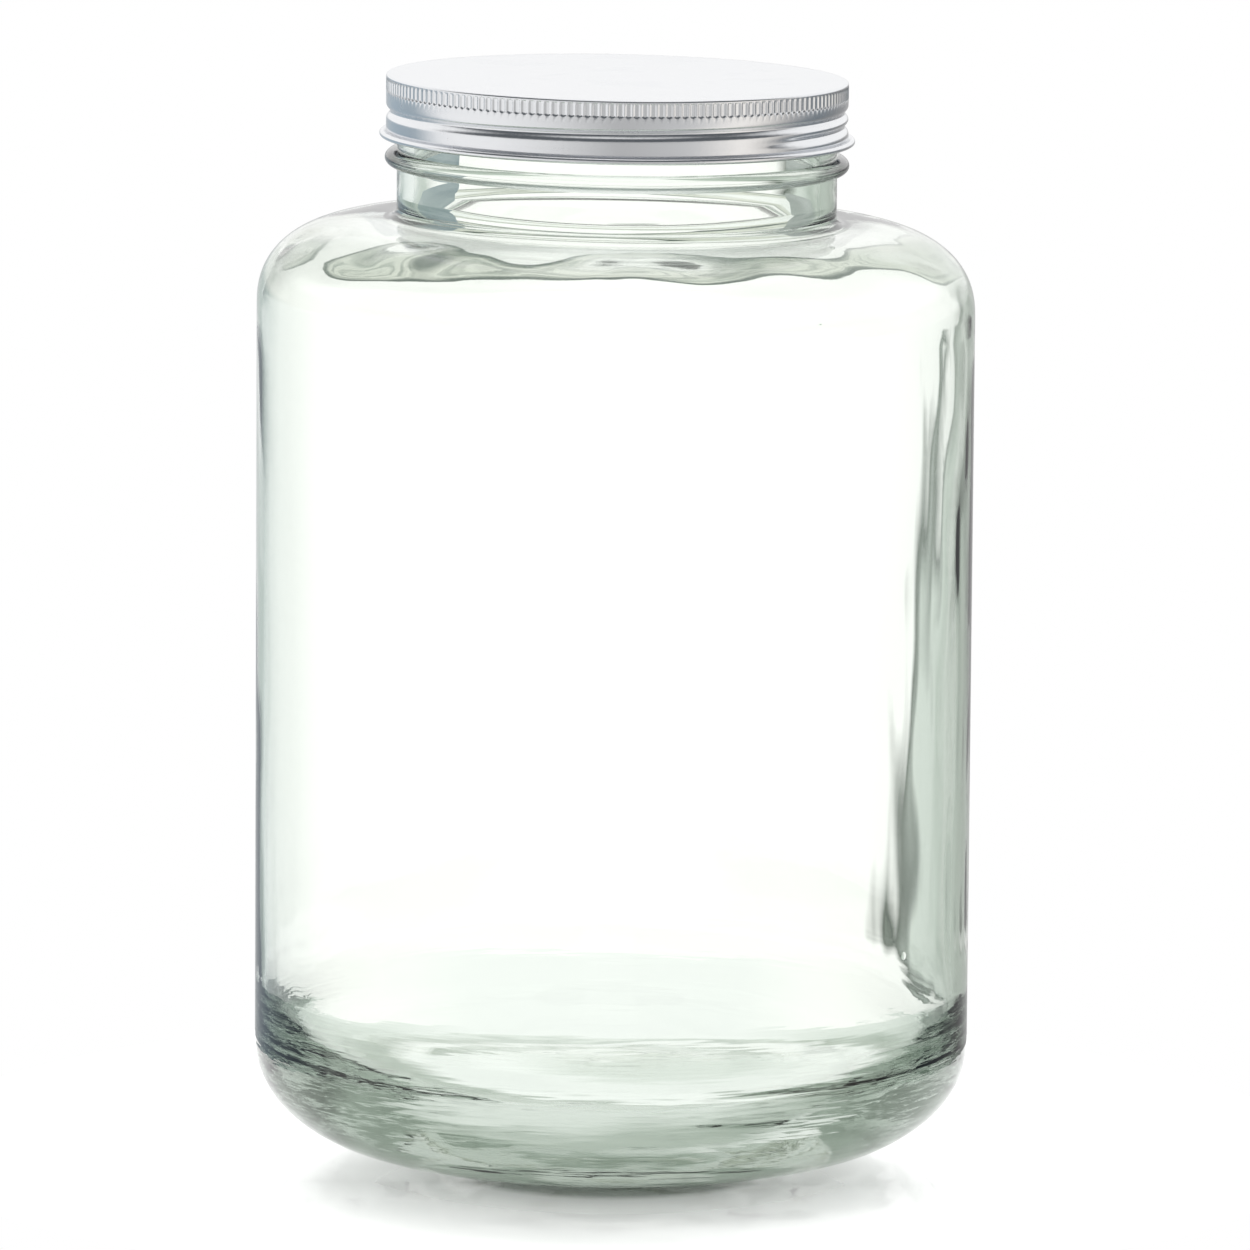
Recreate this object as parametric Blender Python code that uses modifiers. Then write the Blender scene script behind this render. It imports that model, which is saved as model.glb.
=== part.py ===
"""Storage jar of clear glass, standing shut under a ribbed aluminium screw lid.

The origin is the centre of the base, +Z runs up to the lid, and the front of the jar faces -Y.
All sizes are in metres. The jar's mouth isn't quite level: it drops a little towards +X,
and the lid sits square on that mouth, so both pieces share one lean.
"""

import math

import bmesh
import bpy

# Jar outside
BODY_RADIUS = 0.0858
SHOULDER_FOOT = 0.2030
SHOULDER_TOP = 0.22385
SHOULDER_TOP_RADIUS = 0.0582
SHOULDER_ROUNDNESS = 2.28
HEEL_HEIGHT = 0.0252
REST_RING_OUTER = 0.0515
REST_RING_INNER = 0.0450
PUSH_UP = 0.0022

# Neck
NECK_RADIUS = 0.0525
NECK_FILLET = 0.0025
BEAD_HEIGHT = 0.2383
BEAD_RADIUS = 0.0554
BEAD_HALF_WIDTH = 0.0021
LIP_HEIGHT = 0.2573
LIP_ROUNDING = 0.0012
BORE_RADIUS = 0.0486

# Jar inside
WALL_AT_SHOULDER = 0.0022
WALL_AT_HEEL = 0.0040
FLOOR_HEIGHT = 0.0130
FLOOR_CROWN = 0.0018
FLOOR_RADIUS = 0.0580
INNER_HEEL_TOP = 0.0420
INNER_SHOULDER_FOOT = 0.2000
INNER_SHOULDER_TOP = 0.2195
INNER_SHOULDER_RADIUS = 0.0530
WALL_SWELL = 0.0006

# Lean of the mouth
MOUTH_TILT = math.radians(0.747)
LEAN_FOOT = 0.0508
LEAN_TOP = 0.2030

# Lid
LID_TOP = 0.2583
LID_RADIUS = 0.0551
LID_SHEET = 0.0006
LID_EDGE_ROUNDING = 0.0005
BAND_FOOT = 0.2450
STEP_DEPTH = 0.0007
CURL_HEIGHT = 0.2441
CURL_ROUNDING = 0.00075
CURL_RADIUS = 0.0567

# Ribs round the lid's top edge
RIB_COUNT = 180
RIB_RELIEF = 0.00025
RIB_TOP = 0.2576
RIB_FOOT = 0.2541
RIB_MARGIN = 0.0002

# Thread rolled into the lid, climbing to the right round the back
THREAD_RISE = 0.00325
THREAD_START = math.radians(-59.0)
THREAD_START_HEIGHT = 0.2473
THREAD_RUN = math.radians(468.0)
THREAD_FADE = math.radians(28.0)
THREAD_DEPTH = 0.0010
THREAD_HALF_WIDTH = 0.0009
THREAD_RINGS = 8

JAR_SEGMENTS = 60
LID_SEGMENTS = 72
MERGE = 0.00001
SMOOTH_ANGLE = math.radians(35.0)


def clear_scene():
    """Empties the file of the objects it opened with."""
    for item in list(bpy.data.objects):
        bpy.data.objects.remove(item, do_unlink=True)


def arc(centre, radii, start, end, steps):
    """Points along part of an ellipse in the profile's plane, angles in degrees."""
    points = []
    for step in range(steps + 1):
        angle = math.radians(start + (end - start) * step / steps)
        points.append((centre[0] + radii[0] * math.cos(angle), centre[1] + radii[1] * math.sin(angle)))
    return points


def rounded_quarter(centre, radii, steps):
    """Points from the level top of a shoulder round to its upright side, squarer than an ellipse."""
    power = 2 / SHOULDER_ROUNDNESS
    points = []
    for step in range(steps + 1):
        angle = math.pi / 2 * step / steps
        across = abs(math.sin(angle)) ** power
        up = abs(math.cos(angle)) ** power
        points.append((centre[0] + radii[0] * across, centre[1] + radii[1] * up))
    return points


def between(start, end, steps):
    """Evenly spaced points on a straight line, with both its ends."""
    points = []
    for step in range(steps + 1):
        share = step / steps
        points.append((start[0] + (end[0] - start[0]) * share, start[1] + (end[1] - start[1]) * share))
    return points


def jar_inside():
    """The inner wall from the middle of the floor up to the bore."""
    shoulder_radius = BODY_RADIUS - WALL_AT_SHOULDER
    heel_radius = BODY_RADIUS - WALL_AT_HEEL
    floor = [(0.0, FLOOR_HEIGHT + FLOOR_CROWN), (FLOOR_RADIUS / 2, FLOOR_HEIGHT + FLOOR_CROWN * 0.7)]
    heel_size = (heel_radius - FLOOR_RADIUS, INNER_HEEL_TOP - FLOOR_HEIGHT)
    heel = arc((FLOOR_RADIUS, INNER_HEEL_TOP), heel_size, -90, 0, 5)
    wall = between(heel[-1], (shoulder_radius, INNER_SHOULDER_FOOT), 5)
    shoulder_size = (shoulder_radius - INNER_SHOULDER_RADIUS, INNER_SHOULDER_TOP - INNER_SHOULDER_FOOT)
    shoulder = rounded_quarter((INNER_SHOULDER_RADIUS, INNER_SHOULDER_FOOT), shoulder_size, 5)
    fillet = INNER_SHOULDER_RADIUS - BORE_RADIUS
    bore_foot = arc((INNER_SHOULDER_RADIUS, INNER_SHOULDER_TOP + fillet), (fillet, fillet), 270, 180, 3)
    return floor + heel + wall[1:-1] + shoulder[::-1] + bore_foot[1:]


def jar_outside():
    """The outer side from the lip down to the middle of the underside."""
    rounding = (LIP_ROUNDING, LIP_ROUNDING)
    lip_level = LIP_HEIGHT - LIP_ROUNDING
    lip = arc((BORE_RADIUS + LIP_ROUNDING, lip_level), rounding, 180, 90, 2)
    lip += arc((NECK_RADIUS - LIP_ROUNDING, lip_level), rounding, 90, 0, 2)
    bead = arc((NECK_RADIUS, BEAD_HEIGHT), (BEAD_RADIUS - NECK_RADIUS, BEAD_HALF_WIDTH), 90, -90, 6)
    foot_centre = (NECK_RADIUS + NECK_FILLET, SHOULDER_TOP + NECK_FILLET)
    foot = arc(foot_centre, (NECK_FILLET, NECK_FILLET), 180, 270, 3)
    shoulder_size = (BODY_RADIUS - SHOULDER_TOP_RADIUS, SHOULDER_TOP - SHOULDER_FOOT)
    shoulder = rounded_quarter((SHOULDER_TOP_RADIUS, SHOULDER_FOOT), shoulder_size, 7)
    heel = arc((REST_RING_OUTER, HEEL_HEIGHT), (BODY_RADIUS - REST_RING_OUTER, HEEL_HEIGHT), 0, -90, 7)
    wall = between(shoulder[-1], heel[0], 3)
    underside = [(REST_RING_INNER, 0.0), (REST_RING_INNER * 0.8, PUSH_UP * 0.7), (0.0, PUSH_UP)]
    return lip + bead + foot + shoulder + wall[1:-1] + heel + underside


def lid_profile():
    """The lid's sheet, from its middle down the outside, round the curl and back up inside."""
    rounding = (LID_EDGE_ROUNDING, LID_EDGE_ROUNDING)
    edge = arc((LID_RADIUS - LID_EDGE_ROUNDING, LID_TOP - LID_EDGE_ROUNDING), rounding, 90, 0, 2)
    thread_end = THREAD_START_HEIGHT + THREAD_RISE * THREAD_RUN / math.tau
    thread_top = (LID_RADIUS, thread_end + THREAD_HALF_WIDTH)
    thread_foot = (LID_RADIUS, THREAD_START_HEIGHT - THREAD_HALF_WIDTH)
    band = [(LID_RADIUS, RIB_FOOT - RIB_MARGIN), *between(thread_top, thread_foot, THREAD_RINGS)]
    band.append((LID_RADIUS, BAND_FOOT))
    step = (LID_RADIUS - STEP_DEPTH, BAND_FOOT - STEP_DEPTH)
    curl_size = (CURL_ROUNDING, CURL_ROUNDING)
    curl = arc((CURL_RADIUS - CURL_ROUNDING, CURL_HEIGHT), curl_size, 150, -90, 6)
    inner_step = [(step[0] - LID_SHEET, curl[-1][1]), (step[0] - LID_SHEET, step[1])]
    inner_band = [(radius - LID_SHEET, height) for radius, height in band[::-1]]
    ceiling = LID_TOP - LID_SHEET
    return [
        (0.0, LID_TOP),
        *edge,
        *band,
        step,
        *curl,
        *inner_step,
        *inner_band,
        (LID_RADIUS - LID_SHEET, ceiling),
        (0.0, ceiling),
    ]


def turned(name, profile, segments, collection):
    """A profile turned about +Z by a Screw modifier and made into plain mesh."""
    mesh = bpy.data.meshes.new(name)
    edges = [(index, index + 1) for index in range(len(profile) - 1)]
    mesh.from_pydata([(radius, 0.0, height) for radius, height in profile], edges, [])
    piece = bpy.data.objects.new(name, mesh)
    collection.objects.link(piece)
    screw = piece.modifiers.new("Turn", "SCREW")
    screw.axis = "Z"
    screw.angle = math.tau
    screw.steps = segments
    screw.render_steps = segments
    screw.use_merge_vertices = True
    screw.merge_threshold = MERGE
    bpy.context.view_layer.update()
    evaluated = piece.evaluated_get(bpy.context.evaluated_depsgraph_get())
    piece.data = bpy.data.meshes.new_from_object(evaluated)
    piece.modifiers.clear()
    bpy.data.meshes.remove(mesh)
    shell = bmesh.new()
    shell.from_mesh(piece.data)
    bmesh.ops.remove_doubles(shell, verts=shell.verts, dist=MERGE)
    shell.to_mesh(piece.data)
    shell.free()
    return piece


def move_points(piece, rule):
    """Moves every point of a piece to where the rule sends it."""
    for vertex in piece.data.vertices:
        vertex.co = rule(*vertex.co)
    piece.data.update()


def fade(share):
    """A smooth step from 0 to 1."""
    share = min(max(share, 0.0), 1.0)
    return share * share * (3 - 2 * share)


def leaning(x, y, z):
    """Lowers the +X side and lifts the -X side of all that stands above the jar's lower part."""
    share = min(max((z - LEAN_FOOT) / (LEAN_TOP - LEAN_FOOT), 0.0), 1.0)
    return x, y, z - math.tan(MOUTH_TILT) * x * share


def uneven(x, y, z):
    """Thickens the blown wall from inside in slow waves, most on the +X side."""
    radius = math.hypot(x, y)
    if radius > BODY_RADIUS - WALL_AT_SHOULDER / 2 or not INNER_HEEL_TOP < z < INNER_SHOULDER_FOOT:
        return x, y, z
    turn = math.atan2(y, x)
    height = (z - INNER_HEEL_TOP) / (INNER_SHOULDER_FOOT - INNER_HEEL_TOP)
    ends = fade(height * 4) * fade((1 - height) * 4)
    wave = 0.6 * math.cos(turn) + 0.25 * math.sin(2 * turn + 3 * height) + 0.15 * math.cos(3 * turn - 5 * height)
    share = 1 - WALL_SWELL * wave * ends / radius
    return x * share, y * share, z


def threaded(x, y, z):
    """Presses the screw thread into both sides of the lid's skirt."""
    radius = math.hypot(x, y)
    if radius < LID_RADIUS - 2 * LID_SHEET or not BAND_FOOT + MERGE < z < RIB_FOOT - RIB_MARGIN - MERGE:
        return x, y, z
    run = (math.atan2(y, x) - THREAD_START) % math.tau
    sink = 0.0
    while run < THREAD_RUN:
        off = (z - THREAD_START_HEIGHT - THREAD_RISE * run / math.tau) / THREAD_HALF_WIDTH
        ends = fade(run / THREAD_FADE) * fade((THREAD_RUN - run) / THREAD_FADE)
        sink = max(sink, THREAD_DEPTH * ends * math.exp(-off * off))
        run += math.tau
    share = 1 - sink / radius
    return x * share, y * share, z


def rib_ring(shell, height):
    """A ring of edges that steps in and out between the ribs."""
    ring = bmesh.ops.create_circle(shell, segments=2 * RIB_COUNT, radius=LID_RADIUS)["verts"]
    for index, vertex in enumerate(ring):
        vertex.co.z = height
        if index % 2:
            vertex.co.xy *= 1 - RIB_RELIEF / LID_RADIUS
    return list({edge for vertex in ring for edge in vertex.link_edges})


def add_ribs(piece):
    """Swaps the plain band under the lid's edge for a finely ribbed one."""
    shell = bmesh.new()
    shell.from_mesh(piece.data)
    outside = LID_RADIUS - LID_SHEET / 2
    band = [
        face
        for face in shell.faces
        if face.calc_center_median().xy.length > outside
        and RIB_FOOT < face.calc_center_median().z < RIB_TOP
    ]
    bmesh.ops.delete(shell, geom=band, context="FACES")
    rims = [edge for edge in shell.edges if edge.is_boundary]
    middle = (RIB_TOP + RIB_FOOT) / 2
    loops = [
        [edge for edge in rims if edge.verts[0].co.z > middle],
        rib_ring(shell, RIB_TOP),
        rib_ring(shell, RIB_FOOT),
        [edge for edge in rims if edge.verts[0].co.z < middle],
    ]
    for upper, lower in zip(loops, loops[1:]):
        bmesh.ops.bridge_loops(shell, edges=upper + lower)
    bmesh.ops.recalc_face_normals(shell, faces=shell.faces)
    shell.to_mesh(piece.data)
    shell.free()


def finish_piece(piece, material):
    """Shades a round piece smooth, with sharp corners kept, and gives it its material."""
    piece.data.shade_smooth()
    piece.data.set_sharp_from_angle(angle=SMOOTH_ANGLE)
    piece.data.materials.clear()
    piece.data.materials.append(material)


def surface(name, colour, roughness, metallic):
    """A material with the colour and finish that a piece shows."""
    material = bpy.data.materials.new(name)
    material.use_nodes = True
    shader = material.node_tree.nodes["Principled BSDF"]
    shader.inputs["Base Color"].default_value = (*colour, 1.0)
    shader.inputs["Roughness"].default_value = roughness
    shader.inputs["Metallic"].default_value = metallic
    return material, shader


def make_glass_jar(collection):
    """The jar itself: heel, straight body, rounded shoulder, beaded neck and open bore."""
    piece = turned("glass_jar", jar_inside() + jar_outside(), JAR_SEGMENTS, collection)
    move_points(piece, uneven)
    move_points(piece, leaning)
    glass, shader = surface("clear_glass", (0.93, 0.97, 0.94), 0.03, 0.0)
    shader.inputs["Transmission Weight"].default_value = 1.0
    shader.inputs["IOR"].default_value = 1.52
    finish_piece(piece, glass)


def make_screw_lid(collection):
    """The lid: flat top, ribbed edge, rolled thread, stepped foot and outward curl."""
    piece = turned("screw_lid", lid_profile(), LID_SEGMENTS, collection)
    move_points(piece, threaded)
    add_ribs(piece)
    move_points(piece, leaning)
    aluminium, _ = surface("satin_aluminium", (0.78, 0.79, 0.81), 0.34, 1.0)
    finish_piece(piece, aluminium)


def main():
    """Builds the jar and its lid in one collection."""
    clear_scene()
    collection = bpy.data.collections.new("storage_jar")
    bpy.context.scene.collection.children.link(collection)
    make_glass_jar(collection)
    make_screw_lid(collection)


main()
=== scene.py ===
"""Storage jar of clear glass under a satin aluminium screw lid, standing on a pale floor.

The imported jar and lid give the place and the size. The jar and the lid that show are modelled
here again as smooth pieces inside them: a blown glass wall that is never quite even, and a lid of
thin sheet with pressed ribs, a rolled thread and a curled foot.
"""

import math

import bpy
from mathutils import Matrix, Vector


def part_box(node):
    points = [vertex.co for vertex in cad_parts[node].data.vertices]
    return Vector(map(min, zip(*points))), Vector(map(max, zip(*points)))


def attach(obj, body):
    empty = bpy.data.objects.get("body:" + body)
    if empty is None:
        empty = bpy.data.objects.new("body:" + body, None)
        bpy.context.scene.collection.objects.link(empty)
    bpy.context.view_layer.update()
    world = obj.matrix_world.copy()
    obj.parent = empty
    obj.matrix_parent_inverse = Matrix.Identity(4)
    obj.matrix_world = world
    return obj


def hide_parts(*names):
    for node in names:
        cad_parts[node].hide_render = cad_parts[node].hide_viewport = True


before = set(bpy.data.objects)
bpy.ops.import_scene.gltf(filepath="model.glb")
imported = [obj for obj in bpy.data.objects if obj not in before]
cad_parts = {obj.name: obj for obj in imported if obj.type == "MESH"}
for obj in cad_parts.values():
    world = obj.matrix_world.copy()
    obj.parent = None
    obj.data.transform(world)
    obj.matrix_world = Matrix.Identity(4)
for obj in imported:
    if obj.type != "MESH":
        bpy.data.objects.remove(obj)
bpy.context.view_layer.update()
jar_low, jar_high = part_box("glass_jar")
lid_low, lid_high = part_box("screw_lid")

# Driving sizes, in metres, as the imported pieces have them
BODY_RADIUS = jar_high.x
MOUTH_TILT = math.radians(0.747)
LEAN_FOOT, LEAN_TOP = 0.0508, 0.2030
SHOULDER_FOOT, SHOULDER_TOP = 0.2030, 0.22385
SHOULDER_TOP_RADIUS = 0.0582
SHOULDER_ROUNDNESS = 2.28
HEEL_HEIGHT = 0.0252
REST_RING = (0.0450, 0.0515)
PUSH_UP = 0.0022
NECK_RADIUS = 0.0525
NECK_FILLET = 0.0025
BEAD_HEIGHT, BEAD_RADIUS, BEAD_HALF_WIDTH = 0.2383, 0.0554, 0.0021
LIP_HEIGHT, LIP_ROUNDING = 0.2573, 0.0012
BORE_RADIUS = 0.0486
FLOOR_HEIGHT, FLOOR_CROWN, FLOOR_RADIUS = 0.0130, 0.0018, 0.0580
INNER_HEEL_TOP = 0.0420
WALL_AT_HEEL, WALL_AT_SHOULDER = 0.0024, 0.0014
INNER_SHOULDER_FOOT, INNER_SHOULDER_TOP = 0.2032, 0.2220
INNER_SHOULDER_RADIUS = 0.0560
JAR_STEPS = 288

LID_TOP, LID_RADIUS, LID_SHEET = 0.2583, 0.0551, 0.0005
LID_EDGE_ROUNDING = 0.0005
BAND_FOOT, STEP_DEPTH = 0.2450, 0.0007
CURL_HEIGHT, CURL_RADIUS, CURL_ROUNDING = 0.2441, 0.0567, 0.00075
RIB_COUNT, RIB_TOP, RIB_FOOT = 180, 0.2576, 0.2541
RIB_RELIEF, RIB_SLOPE = 0.00022, 0.00013
STEPS_PER_RIB = 4
THREAD_RISE, THREAD_DEPTH, THREAD_HALF_WIDTH = 0.00325, 0.0010, 0.0009
THREAD_START, THREAD_RUN = math.radians(-59.0), math.radians(468.0)
THREAD_START_HEIGHT, THREAD_FADE = 0.2473, math.radians(28.0)

# Unevenness inside the jar: the extra thickness of the +X side, and each set of waves with its
# name, how far it presses, how large it is and how much it is drawn out upwards
THICK_SIDE = 0.0017
WALL_WAVES = (("slow", 0.0006, 0.036, 1.6), ("quick", 0.00014, 0.0045, 7.0))
SHOULDER_WAVES = (("shoulder", 0.0007, 0.042, 0.3),)
FOOT_WAVES = (("foot", 0.0005, 0.026, 1.0),)
HEEL_WAVES = (("rings", 0.00022, 0.017, 0.14), ("fine rings", 0.00009, 0.008, 0.14))
SKIN_REACH = 0.0004

# Glass: its body colour, how deep its folds are, how far seeds stand out for their size, and the
# seeds by place and size
GLASS_COLOUR, GLASS_DENSITY, FOLD_DEPTH = (0.50, 0.57, 0.51, 1.0), 9.0, 0.65
SEED_RISE = 6000
SEEDS = (
    ((0.0505, 0.0692, 0.1932), 0.0008), ((-0.0410, -0.0753, 0.0800), 0.0006),
    ((0.0690, -0.0508, 0.0553), 0.0010),
)

# Camera: its place, its lens, and how far it looks down, aside and out of level, in degrees
CAMERA_PLACE, CAMERA_LENS = (0, -2.7094, 0.5348), 328.97
LOOK_DOWN, LOOK_ASIDE, CAMERA_ROLL = 8.574, -0.057, 0.413

# Room that the metal mirrors, by bearing from the front, + to the right: a level and a tint
COOL, PLAIN, WARM = (0.82, 1.0, 1.14), (1.0, 1.0, 1.0), (1.04, 1.0, 0.95)
MIRRORED_ROOM = (
    (-180, 0.64, PLAIN), (-150, 0.45, COOL), (-120, 0.38, COOL), (-98, 0.94, PLAIN),
    (-65, 0.93, PLAIN), (-38, 0.80, PLAIN), (-12, 0.59, PLAIN), (0, 0.47, PLAIN),
    (15, 0.52, PLAIN), (38, 0.59, PLAIN), (65, 0.97, WARM), (80, 0.74, WARM),
    (97, 0.37, PLAIN), (118, 0.19, COOL), (150, 0.27, PLAIN), (180, 0.64, PLAIN),
)
DOME_TONE, DOME_FOOT, ZENITH = (0.09, 0.10, 0.11), (0.14, 0.24), (0.88, 0.96)
MIRRORED_SCREEN_FOOT, MIRRORED_SCREEN_SIDE = (-0.03, 0.03), (0.0, 0.30)

# Room that shows through the glass, by bearing from the back, + to the right: its level a little
# below the horizon, a little above it and far below it, and high up. 1 is the white screen
SCREEN_WHITE = (0.99, 1.0, 0.965)
ROOM_BELOW = (
    (-180, 0.93), (-60, 0.93), (-26, 0.84), (-20, 0.47), (-14, 0.51), (-10.5, 1), (6.7, 1),
    (6.9, 0.0), (8, 0.02), (9, 0.58), (12, 0.61), (15, 0.38), (19, 0.42), (30, 0.50),
    (42, 0.44), (60, 0.80), (85, 0.90), (180, 0.93),
)
ROOM_LEVEL = (
    (-180, 0.18), (-105, 0.24), (-75, 0.28), (-50, 0.24), (-30, 0.28), (-18, 0.48), (-11, 0.46),
    (-9.5, 1), (5.5, 1), (7, 0.46), (18, 0.38), (30, 0.45), (45, 0.12), (56, 0.12), (72, 0.20),
    (105, 0.13), (180, 0.18),
)
ROOM_ABOVE = (
    (-180, 0.70), (-75, 0.64), (-50, 0.72), (-30, 0.36), (-15, 0.44), (-9, 0.93), (5, 0.93),
    (12, 0.45), (28, 0.76), (50, 0.84), (75, 0.78), (105, 0.70), (180, 0.70),
)
LEVEL_REACHES, HIGH_REACH = ((0.0, 0.03), (-0.35, -0.45)), (0.28, 0.38)
SCREEN_HALF_WIDTH, SCREEN_DROP, DROP_WIDTH = (0.120, 0.155), 0.045, 0.030
SCREEN_EDGE, EDGE_REACH = (0.07, 0.10, 0.08), (0.081, 0.085)
ABOVE_SCREEN, ABOVE_REACH = (0.70, 0.73, 0.64), (0.092, 0.103)
STREAK_TONE, STREAK_SHARE, STREAK_DRAWN = (0.30, 0.34, 0.29), (0.50, 0.66), (45, 45, 150)
SCREEN_TOP, TOP_REACH = (0.93, 0.96, 0.92), (0.15, 0.20)
# How much brighter the room and the table's painted glow are to rays through the glass
THROUGH_GLASS_GLOW = 0.15

# Table: how it shows to the eye, with a painted shadow close to the jar, and the painted shade that shows of
# it through the glass, by distance from the axis
FLOOR_SIZE, FLOOR_DROP, FLOOR_SQUEEZE = 0.17, 0.0001, 1.35
# Painted shadow: the table's glow by squeezed distance, none close to the jar and rising to white further out
PAINTED_SHADOW_GLOW = (
    (0.060, 0.0), (0.065, 0.03), (0.070, 0.22), (0.078, 0.31), (0.088, 0.38), (0.104, 0.50),
    (0.120, 0.66), (0.136, 0.84), (0.155, 0.95),
)
# Painted shadow: the table's grey, dark close to the jar
PAINTED_SHADOW_GREY = ((0.060, 0.02), (0.070, 0.10), (0.085, 0.16), (0.120, 0.20))
# The painted shadow is lifted behind the jar
SHADE_DEPTH, SHADE_LIFT = (-0.05, 0.05), 0.10
MIRROR_DISTANCE, MIRROR_ROUGHNESS = (0.055, 0.13), (0.02, 0.12)
# Painted shade of the jar on the table, seen through the glass: rings of tone by distance, darkest about the
# jar's foot, grey further out and white beyond
PAINTED_SHADE_BELOW = (
    (0.0, 0.62), (0.018, 0.68), (0.032, 0.90), (0.053, 0.92), (0.060, 0.42), (0.066, 0.46),
    (0.074, 0.70), (0.084, 0.73), (0.1072, 0.74), (0.1080, 1), (0.16, 1),
)
# Centre, squeeze and unevenness of the painted shade rings
BELOW_OFFSET, BELOW_SQUEEZE, BELOW_UNEVEN = -0.0102, 0.85, 0.016
# Painted shade seen through the glass: dim far aside and paler along the middle
DIM_HALF_WIDTH, DIM_EDGE, DIM_TONE = (0.092, 0.118), (0.108, 0.116), (0.20, 0.25, 0.21)
PALE_HALF_WIDTH, PALE_EDGE, PALE_TONE = (0.060, 0.035), (0.078, 0.084), (0.90, 0.93, 0.90)

# Cards just behind the neck: name, low and high corner, tone
FLAGS = (
    ("left_flag", (-0.066, 0.058, 0.2268), (-0.0435, 0.058, 0.262), (0.22, 0.30, 0.32)),
    ("right_flag", (0.0475, 0.058, 0.2268), (0.066, 0.058, 0.262), (0.34, 0.38, 0.36)),
)
OVERHEAD_PLACE, OVERHEAD_SIZE, OVERHEAD_POWER = (0, 0.2, 1.6), (1.8, 1.8), 12
LIGHT_BOUNCES, MIRROR_BOUNCES = 18, 12


def arc(centre, radii, start, end, steps):
    """Points along part of an ellipse in the profile's plane, angles in degrees."""
    points = []
    for step in range(steps + 1):
        angle = math.radians(start + (end - start) * step / steps)
        points.append((centre[0] + radii[0] * math.cos(angle), centre[1] + radii[1] * math.sin(angle)))
    return points


def rounded_quarter(centre, radii, steps):
    """Points from the level top of a shoulder round to its upright side, squarer than an ellipse."""
    power = 2 / SHOULDER_ROUNDNESS
    points = []
    for step in range(steps + 1):
        angle = math.pi / 2 * step / steps
        across, up = abs(math.sin(angle)) ** power, abs(math.cos(angle)) ** power
        points.append((centre[0] + radii[0] * across, centre[1] + radii[1] * up))
    return points


def between(start, end, steps):
    """Evenly spaced points on a straight line, with both its ends."""
    shares = [step / steps for step in range(steps + 1)]
    return [(start[0] + (end[0] - start[0]) * s, start[1] + (end[1] - start[1]) * s) for s in shares]


def fade(share):
    """A smooth step from 0 to 1."""
    share = min(max(share, 0.0), 1.0)
    return share * share * (3 - 2 * share)


def turned(name, profile, steps):
    """Extrudes a profile point by point from a small plane's middle and spins it about +Z."""
    bpy.ops.object.select_all(action="DESELECT")
    start = (profile[0][0], 0.0, profile[0][1])
    bpy.ops.mesh.primitive_plane_add(size=0.001, location=start)
    piece = bpy.context.active_object
    piece.name = piece.data.name = name
    bpy.ops.object.transform_apply(location=True, rotation=True, scale=True)
    bpy.ops.object.mode_set(mode="EDIT")
    bpy.ops.mesh.merge(type="CENTER")
    for here, there in zip(profile, profile[1:]):
        move = (there[0] - here[0], 0.0, there[1] - here[1])
        bpy.ops.mesh.extrude_region_move(TRANSFORM_OT_translate={"value": move})
    bpy.ops.mesh.select_all(action="SELECT")
    bpy.ops.mesh.spin(steps=steps, angle=math.tau, center=(0, 0, 0), axis=(0, 0, 1))
    bpy.ops.mesh.select_all(action="SELECT")
    bpy.ops.mesh.remove_doubles(threshold=0.000005)
    bpy.ops.mesh.normals_make_consistent(inside=False)
    bpy.ops.object.mode_set(mode="OBJECT")
    return piece


def apply_all(piece):
    """Applies a piece's modifiers in their order."""
    bpy.ops.object.select_all(action="DESELECT")
    piece.select_set(True)
    bpy.context.view_layer.objects.active = piece
    for modifier in list(piece.modifiers):
        bpy.ops.object.modifier_apply(modifier=modifier.name)


def weigh(piece, name, rule):
    """Paints a vertex group by a rule of the point's place, 0 to 1."""
    group = piece.vertex_groups.new(name=name)
    for vertex in piece.data.vertices:
        weight = rule(*vertex.co)
        if weight > 0:
            group.add([vertex.index], weight, "REPLACE")
    return group.name


def press(piece, group, strength, texture=None, about=None):
    """A Displace modifier along the surface's normal, by a painted group and perhaps a texture."""
    modifier = piece.modifiers.new(group, "DISPLACE")
    modifier.vertex_group = group
    modifier.direction = "NORMAL"
    modifier.strength = strength
    modifier.mid_level = 0.5 if texture else 0.0
    if texture:
        modifier.texture = texture
        modifier.texture_coords = "OBJECT" if about else "LOCAL"
        modifier.texture_coords_object = about


def waves(name, size):
    """A soft cloud texture for hand-made unevenness."""
    texture = bpy.data.textures.new(name, "CLOUDS")
    texture.noise_scale = size
    texture.noise_depth = 1
    texture.noise_basis = "ORIGINAL_PERLIN"
    return texture


def lean(piece):
    """Tips all above the jar's lower part with a lattice, down on the +X side."""
    span = LEAN_TOP - LEAN_FOOT
    bpy.ops.object.select_all(action="DESELECT")
    bpy.ops.object.add(type="LATTICE", location=(0, 0, (LEAN_FOOT + LEAN_TOP) / 2))
    cage = bpy.context.active_object
    cage.data.points_u, cage.data.points_v, cage.data.points_w = 2, 2, 4
    for axis in "uvw":
        setattr(cage.data, f"interpolation_type_{axis}", "KEY_LINEAR")
    levels = sorted({round(point.co.z, 5) for point in cage.data.points})
    cage.scale = (4 * BODY_RADIUS, 4 * BODY_RADIUS, span / (levels[2] - levels[1]))
    slope = math.tan(MOUTH_TILT) * cage.scale.x / cage.scale.z
    for point in cage.data.points:
        if point.co.z > 0:
            point.co_deform.z -= slope * point.co.x
    piece.modifiers.new("Lean", "LATTICE").object = cage
    apply_all(piece)
    bpy.data.objects.remove(cage)


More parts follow.
